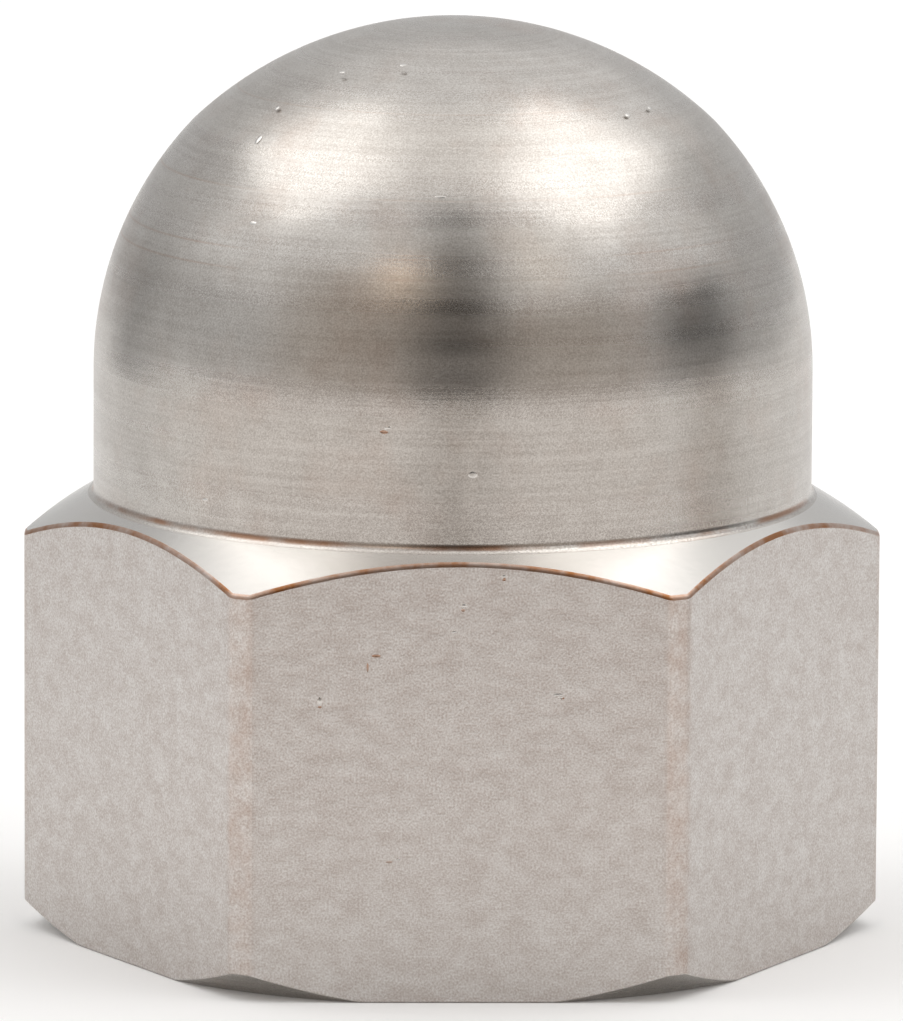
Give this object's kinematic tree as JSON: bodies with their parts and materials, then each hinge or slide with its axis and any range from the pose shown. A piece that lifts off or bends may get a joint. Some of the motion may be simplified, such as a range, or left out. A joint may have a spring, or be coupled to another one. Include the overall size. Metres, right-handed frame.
{
  "type": "impeller nut",
  "caption": "Domed cap hexagon nut with a blind threaded hole, which holds an impeller on the end of its shaft and covers the thread.",
  "frame": {"origin": "centre of the flat bearing face, on the thread's axis", "axes": "+Z along the thread's axis from the bearing face towards the dome; +X through a corner of the hexagon, so two flats face -Y and +Y"},
  "size_m": [0.0216, 0.019, 0.0233],
  "materials": {
    "nut_metal": "satin turned stainless steel"
  },
  "bodies": {
    "root": {"impeller_nut": "nut_metal"}
  },
  "joints": []
}
